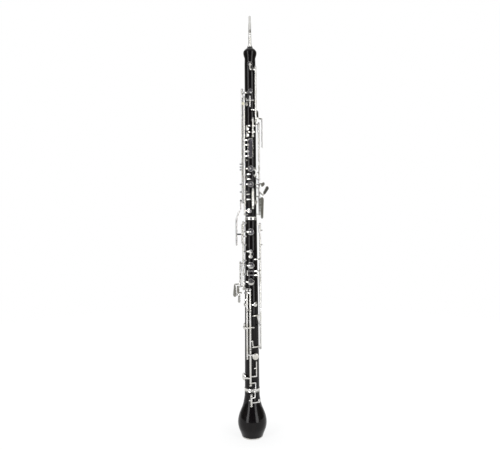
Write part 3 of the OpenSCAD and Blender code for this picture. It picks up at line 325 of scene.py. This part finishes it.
# A round bumper of pale cork is glued to the trill key's tube, where the metal would click
# against its neighbour. It is punched from a sheet, and its corners are rubbed round.
pale_cork = cork_bark("pale_cork", 0.7, 1500, pits=(0.34, 0.30, 0.19), body=(0.60, 0.57, 0.42),
                      crust=(0.70, 0.68, 0.54), rise=0.35)
bumper_turn = math.radians(-48)
bumper_stand, bumper_height = 0.0178, 0.6888
bumper_out = Vector((math.sin(bumper_turn), -math.cos(bumper_turn), 0))
bumper_foot = bumper_out * bumper_stand + Vector((0, 0, bumper_height))
bumper_shape = ((0, 0.0022), (0.0004, 0.0027), (0.0018, 0.0030), (0.0030, 0.0028),
                (0.0037, 0.0021), (0.0040, 0.0009))
drawn_out("trill_key_bumper", [(bumper_foot + bumper_out * d, r) for d, r in bumper_shape],
          pale_cork, "lower_trill_key", sides=24, out=(0, 0, 1))


# The rods and small screws are steel, drawn through a die and cut to length. They turn in the
# posts with a drop of oil. The needle springs are drawn finer and blued by heat.
def drawn_steel(name, colour, roughness):
    """Steel with fine lines along the way it was drawn."""
    groove = tuple(0.75 * c for c in colour)
    draw_stretch = (1, 1, 0.03)
    material, shader, add, join = finish(name, roughness, 1.0)
    place = add("TexCoord")
    drawn = add("Mapping")
    drawn.inputs["Scale"].default_value = draw_stretch
    join(place, drawn, "Vector", OBJECT_PLACE)
    lines = add("TexNoise", Scale=4000, Detail=3)
    join(drawn, lines, "Vector")
    tint = shades(add, (0.35, groove), (0.7, colour))
    join(lines, tint, 0)
    join(tint, shader, "Base Color")
    relief = add("Bump", Strength=0.15, Distance=0.00002)
    join(lines, relief, "Height")
    join(relief, shader, "Normal")
    return material


steel = drawn_steel("drawn_steel", (0.50, 0.50, 0.51), 0.28)
dark_steel = drawn_steel("dark_steel", (0.17, 0.17, 0.175), 0.3)
blued_steel = drawn_steel("blued_steel", (0.06, 0.08, 0.17), 0.3)
for name in ("lower_rods", "upper_rods", "bell_rod", "thumb_rest_screws"):
    dress(name, steel)
for name in ("lower_springs", "upper_springs"):
    dress(name, blued_steel)


# Adjusting screws stand out from the long trill tube. They are turned from steel and darkened,
# and a small driver sets them so that two keys close together.
screw_x, screw_y = -0.0186, -0.0052
screw_heights = (0.565, 0.5589, 0.5533, 0.5232, 0.5073, 0.4893)
screw_shape = (
    (0, 0.0015), (0.0015, 0.0015), (0.0017, 0.0009), (0.0026, 0.0009), (0.0027, 0.0013),
    (0.0030, 0.0015), (0.0037, 0.0015), (0.0040, 0.0012), (0.0040, 0.0005), (0.0036, 0.0004),
)
for count, z in enumerate(screw_heights, 1):
    start = Vector((screw_x, screw_y, z))
    drawn_out("adjusting_screw_%d" % count, [(start - Vector((d, 0, 0)), r) for d, r in screw_shape],
              dark_steel, "upper_trill_key", sides=16, out=(0, 0, 1))


# Each pad is a felt disc on card, wrapped in thin cream skin. It is set in its cup with warm
# shellac and floated level, so that it closes its hole all round.
def pad_skin():
    """Thin skin with fine wrinkles."""
    fold, stretched = (0.52, 0.38, 0.22), (0.78, 0.66, 0.46)
    material, shader, add, join = finish("pad_skin", 0.45)
    shader.inputs["Subsurface Weight"].default_value = 0.1
    shader.inputs["Subsurface Radius"].default_value = (0.001, 0.0006, 0.0003)
    place = add("TexCoord")
    wrinkles = add("TexNoise", Scale=1400, Detail=6, Roughness=0.7)
    join(place, wrinkles, "Vector", OBJECT_PLACE)
    tint = shades(add, (0.3, fold), (0.7, stretched))
    join(wrinkles, tint, 0)
    join(tint, shader, "Base Color")
    relief = add("Bump", Strength=0.3, Distance=0.00006)
    join(wrinkles, relief, "Height")
    join(relief, shader, "Normal")
    return material


skin = pad_skin()
for name in pieces:
    if name.endswith("_pad"):
        dress(name, skin)


# The crook is a drawn brass tube, filled and bent round a former, and plated like the keys.
# Its foot is pushed into the collar at the top of the upper joint.
dress("crook_tube", silver)


# The studio has a white backdrop, two tall soft boxes, and grey screens out of sight at the
# sides, which give the metal something to reflect.
def laid(tree, kind, **settings):
    """Adds a node to a tree of the studio, with its inputs set."""
    node = tree.nodes.new("ShaderNode" + kind)
    for key, value in settings.items():
        node.inputs[key.replace("_", " ")].default_value = value
    return node


def worked(tree, operation, first=None, second=None):
    """A Math node that works on one or two outputs."""
    node = laid(tree, "Math")
    node.operation = operation
    if first:
        tree.links.new(first, node.inputs[0])
    if second:
        tree.links.new(second, node.inputs[1])
    return node


def seen_straight(tree):
    """1 for what the camera sees, straight or in a mirror or glass, and else 0."""
    path = laid(tree, "LightPath").outputs
    either = worked(tree, "MAXIMUM", path["Is Camera Ray"], path["Is Glossy Ray"])
    return worked(tree, "MAXIMUM", either.outputs[0], path["Is Transmission Ray"]).outputs[0]


def bare_tree(owner, end):
    """The empty tree of a world or a material, and its last node."""
    owner.use_nodes = True
    tree = owner.node_tree
    tree.nodes.clear()
    return tree, tree.nodes.new(end)


world = bpy.data.worlds.new("studio")
bpy.context.scene.world = world
tree, sky_end = bare_tree(world, "ShaderNodeOutputWorld")
blend = laid(tree, "MixShader")
soft = laid(tree, "Background", Color=(0.96, 0.98, 1.0, 1), Strength=0.55)
white = laid(tree, "Background", Color=(1, 1, 1, 1))
tree.links.new(seen_straight(tree), blend.inputs[0])
tree.links.new(soft.outputs[0], blend.inputs[1])
tree.links.new(white.outputs[0], blend.inputs[2])
tree.links.new(blend.outputs[0], sky_end.inputs[0])


# The floor is a wide disc of white paper. Close to the bell it is matt and keeps the shadow,
# and further out it shines as white as the backdrop.
floor_r = 1.6
shadow_r, clear_r = 0.03, 0.16
least_shine = 0.8
floor_mesh = bpy.data.meshes.new("floor")
form = bmesh.new()
bmesh.ops.create_circle(form, cap_ends=True, radius=floor_r, segments=96)
form.to_mesh(floor_mesh)
form.free()
floor = bpy.data.objects.new("floor", floor_mesh)
bpy.context.scene.collection.objects.link(floor)
paper = bpy.data.materials.new("paper_floor")
tree, floor_end = bare_tree(paper, "ShaderNodeOutputMaterial")
blend = laid(tree, "MixShader")
matt = laid(tree, "BsdfDiffuse", Color=(0.86, 0.86, 0.86, 1))
glow = laid(tree, "Emission", Strength=1.05)
place = laid(tree, "TexCoord")
reach = laid(tree, "VectorMath")
reach.operation = "LENGTH"
fade = laid(tree, "MapRange", From_Min=shadow_r, From_Max=clear_r, To_Min=least_shine, To_Max=1.0)
tree.links.new(place.outputs["Object"], reach.inputs[0])
tree.links.new(reach.outputs["Value"], fade.inputs["Value"])
share = worked(tree, "MULTIPLY", fade.outputs[0], seen_straight(tree))
tree.links.new(share.outputs[0], blend.inputs[0])
tree.links.new(matt.outputs[0], blend.inputs[1])
tree.links.new(glow.outputs[0], blend.inputs[2])
tree.links.new(blend.outputs[0], floor_end.inputs[0])
floor_mesh.materials.append(paper)


# The screens stand round the object in a drum that is open behind it. Each shade has its place
# from back (0) by the left and front (0.5) to the right and back again (1).
screen_r = 2.3
screen_foot, screen_top = -0.1, 2.6
screen_steps = 72
open_half = 32
screen_shades = (
    (0.0, (0.28, 0.28, 0.28)), (0.2, (0.34, 0.34, 0.32)), (0.26, (0.09, 0.09, 0.07)),
    (0.34, (0.32, 0.32, 0.31)), (0.43, (0.10, 0.095, 0.12)), (0.5, (0.07, 0.065, 0.09)),
    (0.57, (0.10, 0.095, 0.12)), (0.66, (0.36, 0.36, 0.33)), (0.745, (0.075, 0.075, 0.065)),
    (0.81, (0.34, 0.33, 0.30)), (1.0, (0.28, 0.28, 0.28)),
)
screen_mesh = bpy.data.meshes.new("screens")
form = bmesh.new()
for i in range(screen_steps):
    if abs(360 * (i + 0.5) / screen_steps - 180) < open_half:
        continue
    corners = []
    for a, z in ((i, screen_foot), (i + 1, screen_foot), (i + 1, screen_top), (i, screen_top)):
        t = 2 * math.pi * a / screen_steps
        corners.append(form.verts.new((screen_r * math.sin(t), -screen_r * math.cos(t), z)))
    form.faces.new(corners)
form.to_mesh(screen_mesh)
form.free()
screens = bpy.data.objects.new("screens", screen_mesh)
bpy.context.scene.collection.objects.link(screens)
cloth = bpy.data.materials.new("grey_screens")
tree, screen_end = bare_tree(cloth, "ShaderNodeOutputMaterial")
glow = laid(tree, "Emission")
place = laid(tree, "TexCoord")
split = laid(tree, "SeparateXYZ")
tree.links.new(place.outputs["Object"], split.inputs[0])
back = worked(tree, "MULTIPLY", split.outputs["Y"])
back.inputs[1].default_value = -1
turn = worked(tree, "ARCTAN2", split.outputs["X"], back.outputs[0])
spread = laid(tree, "MapRange", From_Min=-math.pi, From_Max=math.pi)
bands = shades(lambda kind: laid(tree, kind), *screen_shades)
tree.links.new(turn.outputs[0], spread.inputs["Value"])
tree.links.new(spread.outputs[0], bands.inputs[0])
tree.links.new(bands.outputs[0], glow.inputs["Color"])
tree.links.new(glow.outputs[0], screen_end.inputs[0])
screen_mesh.materials.append(cloth)
screens.visible_camera = False
screens.visible_shadow = False
screens.visible_diffuse = False


# Two tall soft boxes stand in front, one on each side. They draw the two long streaks of light
# on the wood and the bright lines on the tubes.
def soft_box(name, turn, width, height, strength, distance=1.5, middle=0.75):
    """A lamp behind white cloth, turned round the object by some degrees from the front."""
    lamp = bpy.data.lights.new(name, "AREA")
    lamp.shape = "RECTANGLE"
    lamp.size = width
    lamp.size_y = height
    lamp.energy = strength * math.pi * width * height
    box = bpy.data.objects.new(name, lamp)
    t = math.radians(turn)
    box.location = (distance * math.sin(t), -distance * math.cos(t), middle)
    box.rotation_euler = (math.radians(90), 0, t)
    bpy.context.scene.collection.objects.link(box)


soft_box("left_soft_box", turn=-40, width=0.46, height=1.9, strength=5.6)
soft_box("right_soft_box", turn=40, width=0.56, height=1.9, strength=5)


# The camera stands about a metre in front, level with the middle of the instrument, and is
# rolled a little, because the object leans in the photograph's frame.
focus_px, width_px = 490, 500
stand = (-0.0022, -1.02, 0.439)
roll = 0.39
lens = bpy.data.cameras.new("camera")
camera = bpy.data.objects.new("camera", lens)
bpy.context.scene.collection.objects.link(camera)
lens.sensor_width = 36
lens.lens = lens.sensor_width * focus_px / width_px
camera.location = stand
camera.rotation_euler = (math.radians(90), math.radians(roll), 0)
bpy.context.scene.camera = camera
bpy.context.scene.view_settings.view_transform = "Standard"
